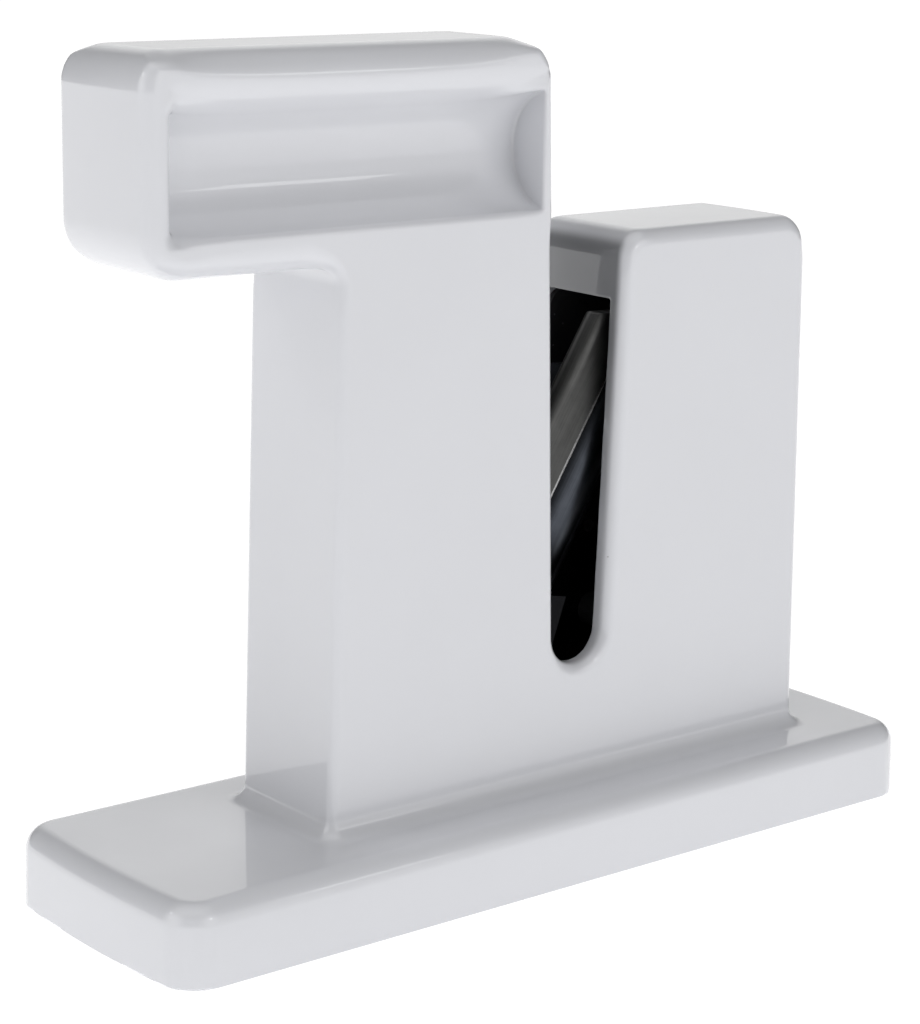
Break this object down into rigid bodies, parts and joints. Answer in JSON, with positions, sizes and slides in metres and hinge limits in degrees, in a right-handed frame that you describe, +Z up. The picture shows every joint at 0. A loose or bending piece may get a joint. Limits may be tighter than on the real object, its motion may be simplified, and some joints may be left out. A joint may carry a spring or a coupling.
{
  "type": "pull-through knife sharpener",
  "caption": "Free-standing pull-through knife sharpener: cast housing with an overhanging grip and two sprung honing steels crossed in a U slot.",
  "frame": {"origin": "centre of the base, on the surface that the feet stand on", "axes": "+X along the base away from the grip, +Y to the rear through the slot, +Z up"},
  "size_m": [0.14, 0.0444, 0.1216],
  "materials": {
    "enamel": "glossy pale grey-white enamel on a die casting",
    "cover": "black moulded plate, fine matt texture",
    "rubber": "matt black rubber",
    "screw_steel": "zinc plated",
    "cartridge": "black moulded nylon",
    "pin_steel": "ground steel",
    "spacer": "black moulded sleeve",
    "spring_steel": "drawn spring wire",
    "arm": "blackened cast arm, slightly glossy",
    "honing_steel": "hardened steel with fine lengthwise grooves"
  },
  "bodies": {
    "stand": {"housing": "enamel", "bottom_cover": "cover", "foot_front_left": "rubber", "foot_front_right": "rubber", "foot_rear_left": "rubber", "foot_rear_right": "rubber", "cover_screws": "screw_steel", "mounting_screws": "screw_steel", "cartridge_base": "cartridge", "cartridge_front_plate": "cartridge", "cartridge_rear_plate": "cartridge", "tie_rivets": "pin_steel", "left_spacer": "spacer", "right_spacer": "spacer", "left_pivot_pin": "pin_steel", "right_pivot_pin": "pin_steel", "left_pivot_sleeve": "spacer", "right_pivot_sleeve": "spacer", "left_stop_pin": "pin_steel", "right_stop_pin": "pin_steel", "left_spring": "spring_steel", "right_spring": "spring_steel"},
    "right_leaning_lever": {"right_leaning_arm": "arm", "right_leaning_steel": "honing_steel", "right_leaning_rivets": "pin_steel"},
    "left_leaning_lever": {"left_leaning_arm": "arm", "left_leaning_steel": "honing_steel", "left_leaning_rivets": "pin_steel"}
  },
  "joints": [
    {"name": "right_leaning_arm_pivot", "type": "hinge", "parent": "stand", "child": "right_leaning_lever", "pos_m": [-0.0031, 0, 0.0341], "axis": [0, 1, 0], "range_deg": [0, 12], "stiffness_Nm_per_rad": 0.08, "springref_deg": -28.65, "deforming": ["left_spring"]},
    {"name": "left_leaning_arm_pivot", "type": "hinge", "parent": "stand", "child": "left_leaning_lever", "pos_m": [0.0201, 0, 0.0341], "axis": [0, -1, 0], "range_deg": [0, 12], "stiffness_Nm_per_rad": 0.08, "springref_deg": -28.65, "deforming": ["right_spring"]}
  ]
}
